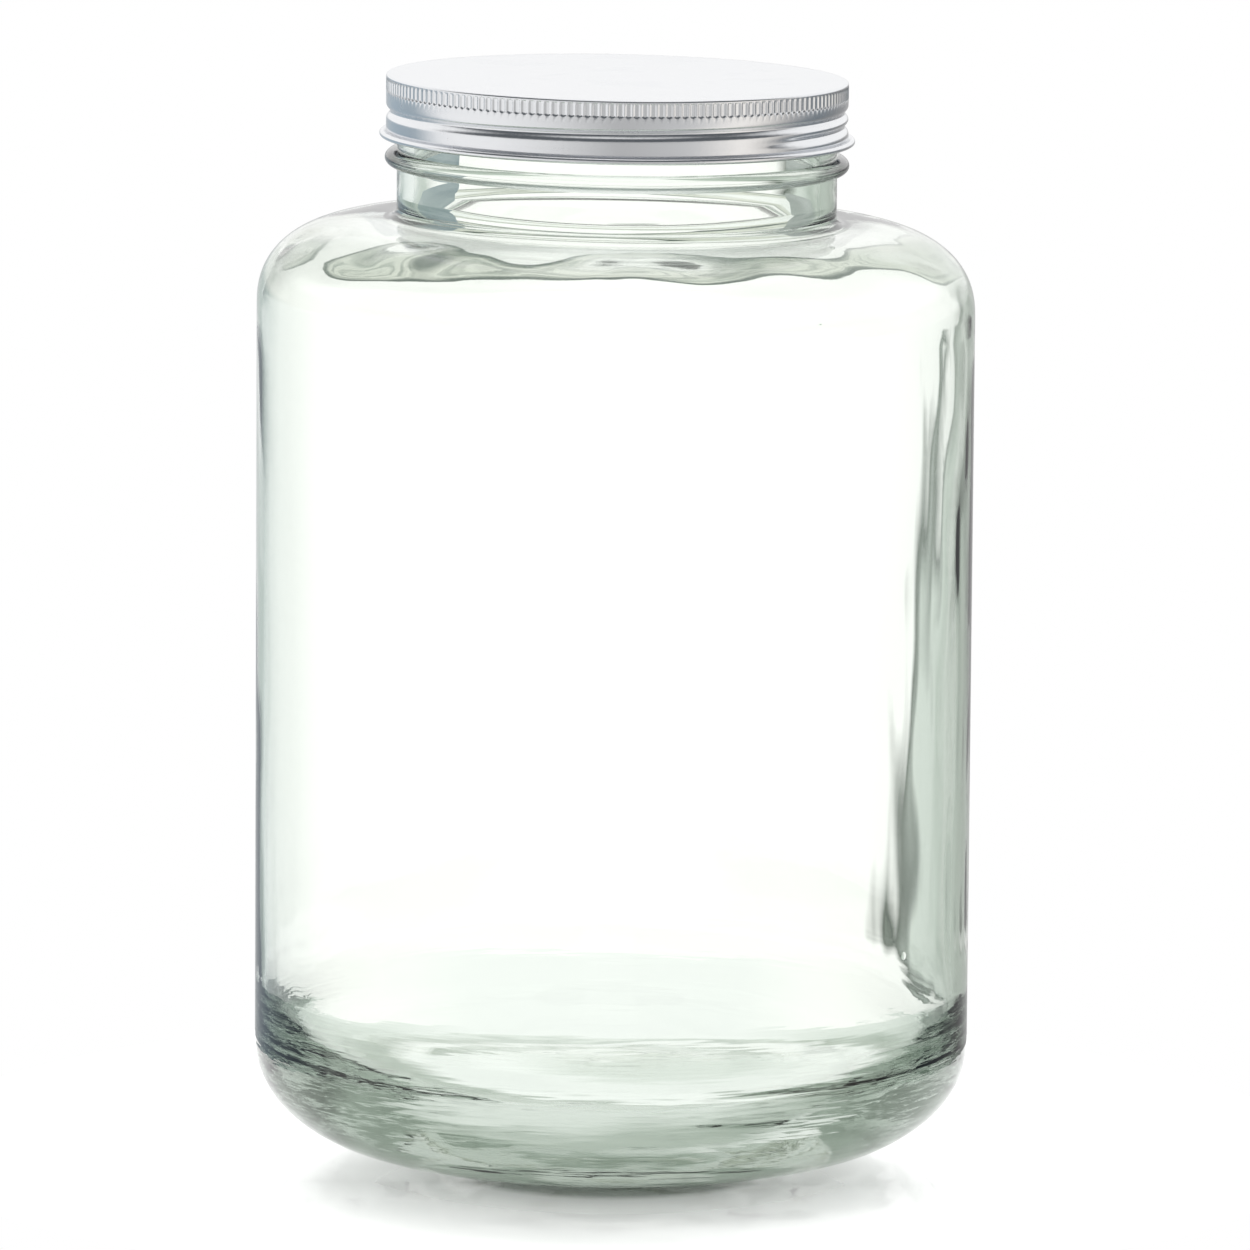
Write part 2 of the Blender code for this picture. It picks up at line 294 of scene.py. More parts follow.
def inner_radius(z):
    """Half the inside width of the body at a height, between heel and shoulder."""
    share = (z - INNER_HEEL_TOP) / (INNER_SHOULDER_FOOT - INNER_HEEL_TOP)
    return BODY_RADIUS - WALL_AT_HEEL + (WALL_AT_HEEL - WALL_AT_SHOULDER) * min(max(share, 0), 1)


def jar_profile():
    """The glass in section: floor, inner wall and bore, then lip, neck, body and underside."""
    heel_radius, shoulder_radius = BODY_RADIUS - WALL_AT_HEEL, BODY_RADIUS - WALL_AT_SHOULDER
    crown = [
        (FLOOR_RADIUS * step / 12, FLOOR_HEIGHT + FLOOR_CROWN * (1 - fade(step / 12)))
        for step in range(12)
    ]
    heel_size = (heel_radius - FLOOR_RADIUS, INNER_HEEL_TOP - FLOOR_HEIGHT)
    inner_heel = arc((FLOOR_RADIUS, INNER_HEEL_TOP), heel_size, -90, 0, 56)
    inner_wall = between(inner_heel[-1], (shoulder_radius, INNER_SHOULDER_FOOT), 44)
    size = (shoulder_radius - INNER_SHOULDER_RADIUS, INNER_SHOULDER_TOP - INNER_SHOULDER_FOOT)
    inner_shoulder = rounded_quarter((INNER_SHOULDER_RADIUS, INNER_SHOULDER_FOOT), size, 20)[::-1]
    fillet = INNER_SHOULDER_RADIUS - BORE_RADIUS
    centre = (INNER_SHOULDER_RADIUS, INNER_SHOULDER_TOP + fillet)
    bore_foot = arc(centre, (fillet, fillet), 270, 180, 8)
    level = LIP_HEIGHT - LIP_ROUNDING
    bore = between(bore_foot[-1], (BORE_RADIUS, level), 10)
    rounding = (LIP_ROUNDING, LIP_ROUNDING)
    lip = arc((BORE_RADIUS + LIP_ROUNDING, level), rounding, 180, 90, 5)
    lip += arc((NECK_RADIUS - LIP_ROUNDING, level), rounding, 90, 0, 5)
    bead_size = (BEAD_RADIUS - NECK_RADIUS, BEAD_HALF_WIDTH)
    bead = arc((NECK_RADIUS, BEAD_HEIGHT), bead_size, 90, -90, 16)
    foot = arc((NECK_RADIUS + NECK_FILLET, SHOULDER_TOP + NECK_FILLET), (NECK_FILLET,) * 2, 180, 270, 8)
    size = (BODY_RADIUS - SHOULDER_TOP_RADIUS, SHOULDER_TOP - SHOULDER_FOOT)
    shoulder = rounded_quarter((SHOULDER_TOP_RADIUS, SHOULDER_FOOT), size, 24)
    heel = arc((REST_RING[1], HEEL_HEIGHT), (BODY_RADIUS - REST_RING[1], HEEL_HEIGHT), 0, -90, 36)
    wall = between(shoulder[-1], heel[0], 20)
    under = [(REST_RING[0], 0.0), (REST_RING[0] * 0.9, PUSH_UP * 0.4), (REST_RING[0] * 0.75, PUSH_UP * 0.8)]
    under += [(REST_RING[0] * 0.4, PUSH_UP), (0.0, PUSH_UP)]
    inside = crown + inner_heel + inner_wall[1:-1] + inner_shoulder + bore_foot[1:] + bore[1:-1]
    return inside + lip + bead + foot + shoulder + wall[1:-1] + heel + under


def on_inner_wall(x, y, z):
    """1 on the body's inner wall, fading out at its ends, and 0 elsewhere."""
    if math.hypot(x, y) > inner_radius(z) + SKIN_REACH or z < INNER_HEEL_TOP * 0.5:
        return 0.0
    return fade((z - 0.021) / 0.03) * fade((INNER_SHOULDER_FOOT + 0.012 - z) / 0.02)


def thick_side(x, y, z):
    """Where the wall is thick: on the +X side, more towards the heel."""
    low = 1 - (z - INNER_HEEL_TOP) / (INNER_SHOULDER_FOOT - INNER_HEEL_TOP)
    return on_inner_wall(x, y, z) * right_side(x, y) * (0.1 + 0.9 * fade(low * 1.25))


def right_side(x, y):
    """1 on the +X side, fading out towards the front and the back."""
    return (0.5 + 0.5 * math.cos(math.atan2(y, x))) ** 2


def wavy_wall(x, y, z):
    """How wavy the inner wall is: most on the +X side, and least high on the -X side."""
    low = fade((0.115 - z) / 0.06)
    return on_inner_wall(x, y, z) * (0.10 + 0.65 * right_side(x, y) + 0.75 * low * right_side(-x, y))


def on_inner_foot(x, y, z):
    """1 on the floor and the inner heel, fading out up the wall."""
    if z < FLOOR_HEIGHT - 0.0005 or math.hypot(x, y) > inner_radius(z) + SKIN_REACH:
        return 0.0
    if z < HEEL_HEIGHT and math.hypot(x, y) > FLOOR_RADIUS + 0.016:
        return 0.0
    return fade((0.055 - z) / 0.03)


def on_inner_heel(x, y, z):
    """1 on the turn of the inner heel, fading out over the floor and up the wall."""
    return on_inner_foot(x, y, z) * fade((math.hypot(x, y) - FLOOR_RADIUS + 0.006) / 0.012)


def on_inner_shoulder(x, y, z):
    """1 about the turn of the inner wall into the shoulder, fading out either side."""
    radius = math.hypot(x, y)
    if radius < INNER_SHOULDER_RADIUS or z < INNER_SHOULDER_FOOT - 0.02:
        return 0.0
    reach = (radius - INNER_SHOULDER_RADIUS) / (BODY_RADIUS - WALL_AT_SHOULDER - INNER_SHOULDER_RADIUS)
    rise = (z - INNER_SHOULDER_FOOT) / (INNER_SHOULDER_TOP - INNER_SHOULDER_FOOT)
    on_skin = abs(reach ** SHOULDER_ROUNDNESS + max(rise, 0) ** SHOULDER_ROUNDNESS - 1) < 0.1
    if rise > 0 and not on_skin or rise <= 0 and radius > BODY_RADIUS - WALL_AT_SHOULDER / 2:
        return 0.0
    return fade((z - INNER_SHOULDER_FOOT + 0.012) / 0.012) * fade(reach / 0.3)


def stretched(height):
    """An empty at the origin whose upright scale draws a texture out or presses it flat."""
    bpy.ops.object.select_all(action="DESELECT")
    bpy.ops.object.empty_add(location=(0, 0, 0))
    empty = bpy.context.active_object
    empty.scale = (1, 1, height)
    bpy.context.view_layer.update()
    return empty


def roll(piece, group, sets):
    """Presses sets of waves into a painted group, and gives the empties that draw them out."""
    empties = []
    for name, depth, size, drawn in sets:
        empties.append(stretched(drawn))
        press(piece, group, depth, waves(name, size), empties[-1])
    return empties


def make_glass_jar(glass):
    """The jar: one closed skin of glass, uneven inside, with its mouth tipped."""
    piece = turned("blown_jar", jar_profile(), JAR_STEPS)
    press(piece, weigh(piece, "Thick", thick_side), THICK_SIDE)
    empties = roll(piece, weigh(piece, "Wall", wavy_wall), WALL_WAVES)
    empties += roll(piece, weigh(piece, "Shoulder", on_inner_shoulder), SHOULDER_WAVES)
    empties += roll(piece, weigh(piece, "Foot", on_inner_foot), FOOT_WAVES)
    empties += roll(piece, weigh(piece, "Heel", on_inner_heel), HEEL_WAVES)
    apply_all(piece)
    for empty in empties:
        bpy.data.objects.remove(empty)
    lean(piece)
    finish(piece, glass, "glass_jar", 40)


def lid_profile():
    """The lid's outer face from the middle of its top, down its skirt and round the curl."""
    edge_size = (LID_EDGE_ROUNDING, LID_EDGE_ROUNDING)
    top = [(0.0, LID_TOP), (0.012, LID_TOP), (0.03, LID_TOP), (0.046, LID_TOP), (0.0525, LID_TOP)]
    edge = arc((LID_RADIUS - LID_EDGE_ROUNDING, LID_TOP - LID_EDGE_ROUNDING), edge_size, 90, 0, 6)
    ribs = [(LID_RADIUS, z) for z in (RIB_TOP, 0.2569, 0.2555, 0.25475, RIB_FOOT + 0.0003, RIB_FOOT)]
    thread_end = THREAD_START_HEIGHT + THREAD_RISE * THREAD_RUN / math.tau
    high, low = thread_end + 0.0012, THREAD_START_HEIGHT - 0.0012
    thread = between((LID_RADIUS, high), (LID_RADIUS, low), 22)
    foot = [(LID_RADIUS, BAND_FOOT + 0.0003), (LID_RADIUS - 0.0001, BAND_FOOT)]
    foot += [(LID_RADIUS - STEP_DEPTH, BAND_FOOT - 0.0004), (LID_RADIUS - STEP_DEPTH, BAND_FOOT - STEP_DEPTH)]
    curl_size = (CURL_ROUNDING, CURL_ROUNDING)
    curl = arc((CURL_RADIUS - CURL_ROUNDING, CURL_HEIGHT), curl_size, 140, -150, 14)
    return top + edge + ribs + thread + foot + curl


def along_thread(x, y, z):
    """How deep the rolled thread is pressed at a point of the skirt, 0 to 1."""
    if math.hypot(x, y) < LID_RADIUS - SKIN_REACH or not BAND_FOOT + 0.0004 < z < RIB_FOOT:
        return 0.0
    run, depth = (math.atan2(y, x) - THREAD_START) % math.tau, 0.0
    while run < THREAD_RUN:
        off = (z - THREAD_START_HEIGHT - THREAD_RISE * run / math.tau) / THREAD_HALF_WIDTH
        ends = fade(run / THREAD_FADE) * fade((THREAD_RUN - run) / THREAD_FADE)
        depth = max(depth, ends * math.exp(-off * off))
        run += math.tau
    return depth


def press_ribs(piece):
    """Insets a sunk pad with a rounded foot between each pair of ribs."""
    bpy.ops.object.select_all(action="DESELECT")
    piece.select_set(True)
    bpy.context.view_layer.objects.active = piece
    step = math.tau / (RIB_COUNT * STEPS_PER_RIB)
    for face in piece.data.polygons:
        x, y, z = face.center
        column = int(round(math.atan2(y, x) / step - 0.5)) % STEPS_PER_RIB
        in_band = RIB_FOOT < z < RIB_TOP and math.hypot(x, y) > LID_RADIUS - 0.0001
        round_foot = z < RIB_FOOT + 0.0003 and column != 1
        face.select = in_band and column < STEPS_PER_RIB - 1 and not round_foot
    bpy.context.tool_settings.mesh_select_mode = (False, False, True)
    bpy.ops.object.mode_set(mode="EDIT")
    bpy.ops.mesh.inset(thickness=RIB_SLOPE, depth=-RIB_RELIEF)
    bpy.ops.mesh.select_mode(type="VERT")
    bpy.ops.object.mode_set(mode="OBJECT")


def make_lid(aluminium):
    """The lid: thin sheet with pressed ribs, a rolled thread and a curled foot."""
    piece = turned("sheet_lid", lid_profile(), RIB_COUNT * STEPS_PER_RIB)
    for face in piece.data.polygons:
        face.select = False
    outward = max(piece.data.polygons, key=lambda face: face.center.z).normal.z > 0
    if not outward:
        piece.data.flip_normals()
    press_ribs(piece)
    press(piece, weigh(piece, "Thread", along_thread), -THREAD_DEPTH)
    sheet = piece.modifiers.new("Sheet", "SOLIDIFY")
    sheet.thickness = LID_SHEET
    sheet.offset = -1
    apply_all(piece)
    lean(piece)
    finish(piece, aluminium, "screw_lid", 75)


def finish(piece, material, node, angle):
    """Smooths a piece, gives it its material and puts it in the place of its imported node."""
    bpy.ops.object.select_all(action="DESELECT")
    piece.select_set(True)
    bpy.context.view_layer.objects.active = piece
    bpy.ops.object.shade_smooth_by_angle(angle=math.radians(angle))
    piece.vertex_groups.clear()
    piece.data.materials.clear()
    piece.data.materials.append(material)
    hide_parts(node)
    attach(piece, "root")


def new_material(name):
    """A material with its nodes, its links and its Principled shader."""
    material = bpy.data.materials.new(name)
    material.use_nodes = True
    nodes = material.node_tree.nodes
    return material, nodes, material.node_tree.links, nodes["Principled BSDF"]


def add_node(nodes, kind, **settings):
    """A shader node with its settings, where a name with a capital is an input."""
    node = nodes.new(kind)
    for key, value in settings.items():
        if key[0].isupper():
            node.inputs[key.replace("_", " ")].default_value = value
        else:
            setattr(node, key, value)
    return node


def new_group(name, inputs, outputs):
    """A shader node group with its sockets, from names, kinds and values."""
    kinds = {"value": "NodeSocketFloat", "vector": "NodeSocketVector"}
    group = bpy.data.node_groups.new(name, "ShaderNodeTree")
    for label, kind, value in inputs:
        socket = group.interface.new_socket(name=label, in_out="INPUT", socket_type=kinds[kind])
        if value is not None:
            socket.default_value = value
    for label in outputs:
        group.interface.new_socket(name=label, in_out="OUTPUT", socket_type=kinds["value"])
    nodes = group.nodes
    return group, nodes, group.links, nodes.new("NodeGroupInput"), nodes.new("NodeGroupOutput")


def use_group(nodes, links, group, place, **values):
    """A group node that reads a place socket, with its other inputs set."""
    node = add_node(nodes, "ShaderNodeGroup", node_tree=group)
    links.new(place, node.inputs["Place"])
    for label, value in values.items():
        node.inputs[label].default_value = value
    return node


def uneven_skin():
    """Slow ripples in a blown surface, drawn out upwards."""
    inputs = (("Place", "vector", None), ("Scale", "value", 40.0), ("Drawn", "value", 0.5))
    group, nodes, links, start, end = new_group("uneven_skin", inputs, ("Height",))
    upright = add_node(nodes, "ShaderNodeCombineXYZ", X=1.0, Y=1.0)
    links.new(start.outputs["Drawn"], upright.inputs["Z"])
    drawn = add_node(nodes, "ShaderNodeVectorMath", operation="MULTIPLY")
    links.new(start.outputs["Place"], drawn.inputs[0])
    links.new(upright.outputs["Vector"], drawn.inputs[1])
    ripple = add_node(nodes, "ShaderNodeTexNoise", Detail=0.0)
    links.new(drawn.outputs["Vector"], ripple.inputs["Vector"])
    links.new(start.outputs["Scale"], ripple.inputs["Scale"])
    links.new(ripple.outputs["Fac"], end.inputs["Height"])
    return group


def seed_bubble():
    """A small gas bubble that lifts the skin at one spot."""
    inputs = (("Place", "vector", None), ("Centre", "vector", None), ("Size", "value", 0.001))
    group, nodes, links, start, end = new_group("seed_bubble", inputs, ("Height",))
    gap = add_node(nodes, "ShaderNodeVectorMath", operation="DISTANCE")
    links.new(start.outputs["Place"], gap.inputs[0])
    links.new(start.outputs["Centre"], gap.inputs[1])
    dome = add_node(nodes, "ShaderNodeMapRange", interpolation_type="SMOOTHSTEP", To_Min=1.0, To_Max=0.0)
    links.new(gap.outputs["Value"], dome.inputs["Value"])
    links.new(start.outputs["Size"], dome.inputs["From Max"])
    links.new(dome.outputs["Result"], end.inputs["Height"])
    return group


def heel_streaks():
    """Fine folds that run round the heel, where the glass met the mould cold."""
    inputs = (("Place", "vector", None), ("Top", "value", 0.045), ("Fade", "value", 0.02))
    group, nodes, links, start, end = new_group("heel_streaks", inputs, ("Height",))
    flat = add_node(nodes, "ShaderNodeVectorMath", operation="MULTIPLY")
    flat.inputs[1].default_value = (60, 60, 900)
    links.new(start.outputs["Place"], flat.inputs[0])
    folds = add_node(nodes, "ShaderNodeTexNoise", Scale=1.0, Detail=1.0)
    links.new(flat.outputs["Vector"], folds.inputs["Vector"])
    parts = add_node(nodes, "ShaderNodeSeparateXYZ")
    links.new(start.outputs["Place"], parts.inputs["Vector"])
    below = add_node(nodes, "ShaderNodeMath", operation="SUBTRACT")
    links.new(start.outputs["Top"], below.inputs[0])
    links.new(parts.outputs["Z"], below.inputs[1])
    low = add_node(nodes, "ShaderNodeMapRange")
    links.new(below.outputs["Value"], low.inputs["Value"])
    links.new(start.outputs["Fade"], low.inputs["From Max"])
    links.new(product(nodes, links, folds.outputs["Fac"], low.outputs["Result"]), end.inputs["Height"])
    return group


def added(nodes, links, *heights):
    """The sum of several value sockets."""
    total = heights[0]
    for height in heights[1:]:
        plus = add_node(nodes, "ShaderNodeMath", operation="ADD")
        links.new(total, plus.inputs[0])
        links.new(height, plus.inputs[1])
        total = plus.outputs["Value"]
    return total


def clear_glass():
    """Blown glass with a faint green body colour, slight ripples, cold folds and seeds."""
    material, nodes, links, shader = new_material("clear_glass")
    shader.inputs["Base Color"].default_value = (0.985, 0.996, 0.985, 1.0)
    shader.inputs["IOR"].default_value = 1.52
    shader.inputs["Transmission Weight"].default_value = 1.0
    shader.inputs["Roughness"].default_value = 0.0
    place = add_node(nodes, "ShaderNodeTexCoord").outputs["Object"]
    ripple = use_group(nodes, links, uneven_skin(), place, Scale=55.0, Drawn=0.6)
    folds = use_group(nodes, links, heel_streaks(), place)
    bubble = seed_bubble()
    heights = [ripple.outputs["Height"], product(nodes, links, folds.outputs["Height"], FOLD_DEPTH)]
    for centre, size in SEEDS:
        seed = use_group(nodes, links, bubble, place, Centre=centre, Size=size)
        heights.append(product(nodes, links, seed.outputs["Height"], size * SEED_RISE))
    bump = add_node(nodes, "ShaderNodeBump", Strength=0.12, Distance=0.001)
    links.new(added(nodes, links, *heights), bump.inputs["Height"])
    links.new(bump.outputs["Normal"], shader.inputs["Normal"])
    body = add_node(nodes, "ShaderNodeVolumeAbsorption", Color=GLASS_COLOUR, Density=GLASS_DENSITY)
    links.new(body.outputs["Volume"], nodes["Material Output"].inputs["Volume"])
    return material


def rolled_grain():
    """The fine grain of rolled sheet: how rough it is and how high it stands."""
    inputs = (
        ("Place", "vector", None), ("Fineness", "value", 900.0), ("Smooth", "value", 0.17),
        ("Rough", "value", 0.26),
    )
    group, nodes, links, start, end = new_group("rolled_grain", inputs, ("Roughness", "Height"))
    grain = add_node(nodes, "ShaderNodeTexNoise", Detail=3.0)
    links.new(start.outputs["Place"], grain.inputs["Vector"])
    links.new(start.outputs["Fineness"], grain.inputs["Scale"])
    rough = add_node(nodes, "ShaderNodeMapRange")
    links.new(grain.outputs["Fac"], rough.inputs["Value"])
    links.new(start.outputs["Smooth"], rough.inputs["To Min"])
    links.new(start.outputs["Rough"], rough.inputs["To Max"])
    links.new(rough.outputs["Result"], end.inputs["Roughness"])
    links.new(grain.outputs["Fac"], end.inputs["Height"])
    return group


def handling_marks():
    """Faint dull spots and rubbed streaks from hands and screwing."""
    inputs = (("Place", "vector", None), ("Amount", "value", 0.08))
    group, nodes, links, start, end = new_group("handling_marks", inputs, ("Roughness",))
    flat = add_node(nodes, "ShaderNodeVectorMath", operation="MULTIPLY")
    flat.inputs[1].default_value = (50, 50, 700)
    links.new(start.outputs["Place"], flat.inputs[0])
    streaks = add_node(nodes, "ShaderNodeTexNoise", Scale=1.0, Detail=4.0)
    links.new(flat.outputs["Vector"], streaks.inputs["Vector"])
    spots = add_node(nodes, "ShaderNodeTexNoise", Scale=160.0, Detail=5.0)
    links.new(start.outputs["Place"], spots.inputs["Vector"])
    both = added(nodes, links, rising(nodes, links, streaks.outputs["Fac"], (0.55, 0.70)),
                 rising(nodes, links, spots.outputs["Fac"], (0.60, 0.72)))
    links.new(product(nodes, links, both, start.outputs["Amount"]), end.inputs["Roughness"])
    return group


def satin_aluminium():
    """Rolled aluminium sheet with a satin grain and faint handling marks."""
    material, nodes, links, shader = new_material("satin_aluminium")
    shader.inputs["Metallic"].default_value = 1.0
    shader.inputs["Base Color"].default_value = (0.86, 0.87, 0.89, 1.0)
    place = add_node(nodes, "ShaderNodeTexCoord").outputs["Object"]
    grain = use_group(nodes, links, rolled_grain(), place, Fineness=900.0)
    marks = use_group(nodes, links, handling_marks(), place, Amount=0.06)
    rough = added(nodes, links, grain.outputs["Roughness"], marks.outputs["Roughness"])
    links.new(rough, shader.inputs["Roughness"])
    bump = add_node(nodes, "ShaderNodeBump", Strength=0.10, Distance=0.0002)
    links.new(grain.outputs["Height"], bump.inputs["Height"])
    links.new(bump.outputs["Normal"], shader.inputs["Normal"])
    return material


def ramp(nodes, links, value, tones):
    """A colour by a value, from a list of value and colour pairs."""
    low, high = tones[0][0], tones[-1][0]
    along = add_node(nodes, "ShaderNodeMapRange", From_Min=low, From_Max=high)
    links.new(value, along.inputs["Value"])
    colours = add_node(nodes, "ShaderNodeValToRGB")
    stops = colours.color_ramp.elements
    stops.remove(stops[-1])
    for index, (level, tone) in enumerate(tones):
        place = (level - low) / (high - low)
        stop = stops[0] if index == 0 else stops.new(place)
        stop.position = place
        stop.color = (*tone, 1.0)
    links.new(along.outputs["Result"], colours.inputs["Fac"])
    return colours.outputs["Color"]


def rising(nodes, links, value, reach):
    """A share that goes from 0 to 1 as a value goes along a reach."""
    rise = add_node(nodes, "ShaderNodeMapRange", From_Min=reach[0], From_Max=reach[1])
    links.new(value, rise.inputs["Value"])
    return rise.outputs["Result"]


def product(nodes, links, first, second):
    """Two values multiplied, the second a socket or a plain number."""
    times = add_node(nodes, "ShaderNodeMath", operation="MULTIPLY")
    links.new(first, times.inputs[0])
    if isinstance(second, float):
        times.inputs[1].default_value = second
    else:
        links.new(second, times.inputs[1])
    return times.outputs["Value"]


def room_tone(level):
    """A level of the dim green-grey room as a colour, where 1 is the warm white screen."""
    if level == 1:
        return SCREEN_WHITE
    return (level, level + 0.02 + 0.18 * level * (1 - level), level)


def room_tones(levels):
    """Colours for a list of places and levels."""
    return [(place, room_tone(level)) for place, level in levels]


def distance(nodes, links, place, offset=0.0, squeeze=1.0):
    """How far a place is from the axis, with its X moved and scaled first."""
    moved = add_node(nodes, "ShaderNodeMapping")
    moved.inputs["Location"].default_value = (offset, 0, 0)
    moved.inputs["Scale"].default_value = (squeeze, 1, 1)
    links.new(place, moved.inputs["Vector"])
    far = add_node(nodes, "ShaderNodeVectorMath", operation="LENGTH")
    links.new(moved.outputs["Vector"], far.inputs[0])
    return far.outputs["Value"]


def shade_table(nodes, links, shader, place, far, parts):
    """The table as the eye sees it: a painted shadow, grey and glowing less close to the jar, glossy, and
    white further out.
    """
    behind = add_node(nodes, "ShaderNodeMapRange", To_Max=SHADE_LIFT)
    behind.inputs["From Min"].default_value, behind.inputs["From Max"].default_value = SHADE_DEPTH
    links.new(parts.outputs["Y"], behind.inputs["Value"])
    squeezed = distance(nodes, links, place, squeeze=FLOOR_SQUEEZE)
    shade = added(nodes, links, squeezed, behind.outputs["Result"])
    rough = add_node(nodes, "ShaderNodeMapRange")
    for label, value in zip(("From Min", "From Max", "To Min", "To Max"), MIRROR_DISTANCE + MIRROR_ROUGHNESS):
        rough.inputs[label].default_value = value
    links.new(far, rough.inputs["Value"])
    links.new(rough.outputs["Result"], shader.inputs["Roughness"])
    # Painted shadow: the glow and the grey of the table are low close to the jar
    for name, levels in (("Emission Strength", PAINTED_SHADOW_GLOW), ("Base Color", PAINTED_SHADOW_GREY)):
        greys = [(reach, (level,) * 3) for reach, level in levels]
        links.new(ramp(nodes, links, shade, greys), shader.inputs[name])


def painted_shade_seen_below(nodes, links, place, far, parts):
    """What shows of the table through the glass: a glow of painted shade in rings of tone, pale along the
    middle and dim far aside.
    """
    soft = add_node(nodes, "ShaderNodeTexNoise", Scale=28.0, Detail=2.0)
    links.new(place, soft.inputs["Vector"])
    uneven = add_node(nodes, "ShaderNodeMath", operation="MULTIPLY_ADD")
    links.new(soft.outputs["Fac"], uneven.inputs[0])
    uneven.inputs[1].default_value = -BELOW_UNEVEN
    links.new(distance(nodes, links, place, BELOW_OFFSET, BELOW_SQUEEZE), uneven.inputs[2])
    evened = add_node(nodes, "ShaderNodeMath", operation="ADD")
    links.new(uneven.outputs["Value"], evened.inputs[0])
    evened.inputs[1].default_value = BELOW_UNEVEN / 2
    tones = ramp(nodes, links, evened.outputs["Value"], room_tones(PAINTED_SHADE_BELOW))
    width = add_node(nodes, "ShaderNodeMath", operation="ABSOLUTE")
    links.new(parts.outputs["X"], width.inputs[0])
    areas = ((PALE_HALF_WIDTH, PALE_EDGE, PALE_TONE), (DIM_HALF_WIDTH, DIM_EDGE, DIM_TONE))
    # Painted shade: paler along the middle and dim far aside
    for half_width, edge, tone in areas:
        aside = rising(nodes, links, width.outputs["Value"], half_width)
        share = product(nodes, links, aside, rising(nodes, links, far, edge))
        tones = blend(nodes, links, share, tones, tone)
    return tones


def make_floor():
    """A pale glossy round table top that mirrors the heel, with a painted shadow close to the jar that fades
    to plain white, and a glow of painted shade where it is seen through the glass.
    """
    material, nodes, links, shader = new_material("pale_floor")
    shader.inputs["IOR"].default_value = 1.45
    shader.inputs["Emission Color"].default_value = (1.0, 1.0, 1.0, 1.0)
    place = add_node(nodes, "ShaderNodeTexCoord").outputs["Object"]
    far = distance(nodes, links, place)
    parts = add_node(nodes, "ShaderNodeSeparateXYZ")
    links.new(place, parts.inputs["Vector"])
    shade_table(nodes, links, shader, place, far, parts)
    # To rays through the glass the table only glows, in the painted shade tones
    glow = add_node(nodes, "ShaderNodeEmission", Strength=1.0 + THROUGH_GLASS_GLOW)
    links.new(painted_shade_seen_below(nodes, links, place, far, parts), glow.inputs["Color"])
    path = add_node(nodes, "ShaderNodeLightPath")
    both = add_node(nodes, "ShaderNodeMixShader")
    links.new(path.outputs["Is Transmission Ray"], both.inputs[0])
    links.new(shader.outputs["BSDF"], both.inputs[1])
    links.new(glow.outputs["Emission"], both.inputs[2])
    links.new(both.outputs["Shader"], nodes["Material Output"].inputs["Surface"])
    bpy.ops.object.select_all(action="DESELECT")
    bpy.ops.mesh.primitive_circle_add(vertices=128, radius=FLOOR_SIZE, fill_type="NGON")
    table = bpy.context.active_object
    table.name = "floor"
    table.location.z = -FLOOR_DROP
    table.data.materials.append(material)


def area_light(name, place, target, size, power):
    """A soft box that faces a target."""
    bpy.ops.object.light_add(type="AREA", location=place)
    light = bpy.context.active_object
    light.name = name
    light.data.shape = "RECTANGLE"
    light.data.size, light.data.size_y = size
    light.data.energy = power
    aim = Vector(target) - Vector(place)
    light.rotation_euler = aim.to_track_quat("-Z", "Y").to_euler()
    light.visible_camera = light.visible_glossy = light.visible_transmission = False
    return light


def flag(name, low, high, tone):
    """An upright card behind the neck that only shows through the glass."""
    material, nodes, links, _ = new_material(name)
    glow = add_node(nodes, "ShaderNodeEmission", Color=(*tone, 1.0))
    links.new(glow.outputs["Emission"], nodes["Material Output"].inputs["Surface"])
    low, high = Vector(low), Vector(high)
    bpy.ops.object.select_all(action="DESELECT")
    bpy.ops.mesh.primitive_plane_add(size=1.0, location=(low + high) / 2, rotation=(math.pi / 2, 0, 0))
    item = bpy.context.active_object
    item.name = name
    item.scale = (high.x - low.x, high.z - low.z, 1)
    item.data.materials.append(material)
    item.visible_camera = item.visible_diffuse = item.visible_glossy = item.visible_shadow = False


def tone_ring(nodes, links, across, away, tones):
    """A colour by bearing in the level plane, in degrees from a direction."""
    bearing = add_node(nodes, "ShaderNodeMath", operation="ARCTAN2")
    links.new(across, bearing.inputs[0])
    links.new(away, bearing.inputs[1])
    return ramp(nodes, links, product(nodes, links, bearing.outputs["Value"], 180 / math.pi), tones)


def blend(nodes, links, share, first, second):
    """Mixes two colours, each a socket or a plain colour, by a share socket."""
    mix = add_node(nodes, "ShaderNodeMix", data_type="RGBA")
    links.new(share, mix.inputs[0])
    for slot, colour in ((6, first), (7, second)):
        if isinstance(colour, tuple):
            mix.inputs[slot].default_value = (*colour, 1.0)
        else:
            links.new(colour, mix.inputs[slot])
    return mix.outputs[2]


def mirrored_tones(nodes, links, parts):
    """What metal and glass mirror: tones round the level, a dark dome, white behind and above."""
    across, away, up = (parts.outputs[axis] for axis in "XYZ")
    room = [(bearing, tuple(level * part for part in tint)) for bearing, level, tint in MIRRORED_ROOM]
    ring = tone_ring(nodes, links, across, product(nodes, links, away, -1.0), room)
    tones = blend(nodes, links, rising(nodes, links, up, DOME_FOOT), ring, DOME_TONE)
    screen = product(nodes, links, rising(nodes, links, up, MIRRORED_SCREEN_FOOT),
                     rising(nodes, links, away, MIRRORED_SCREEN_SIDE))
    white = add_node(nodes, "ShaderNodeMath", operation="MAXIMUM")
    links.new(screen, white.inputs[0])
    links.new(rising(nodes, links, up, ZENITH), white.inputs[1])
    return blend(nodes, links, white.outputs["Value"], tones, (1.0, 1.0, 1.0))


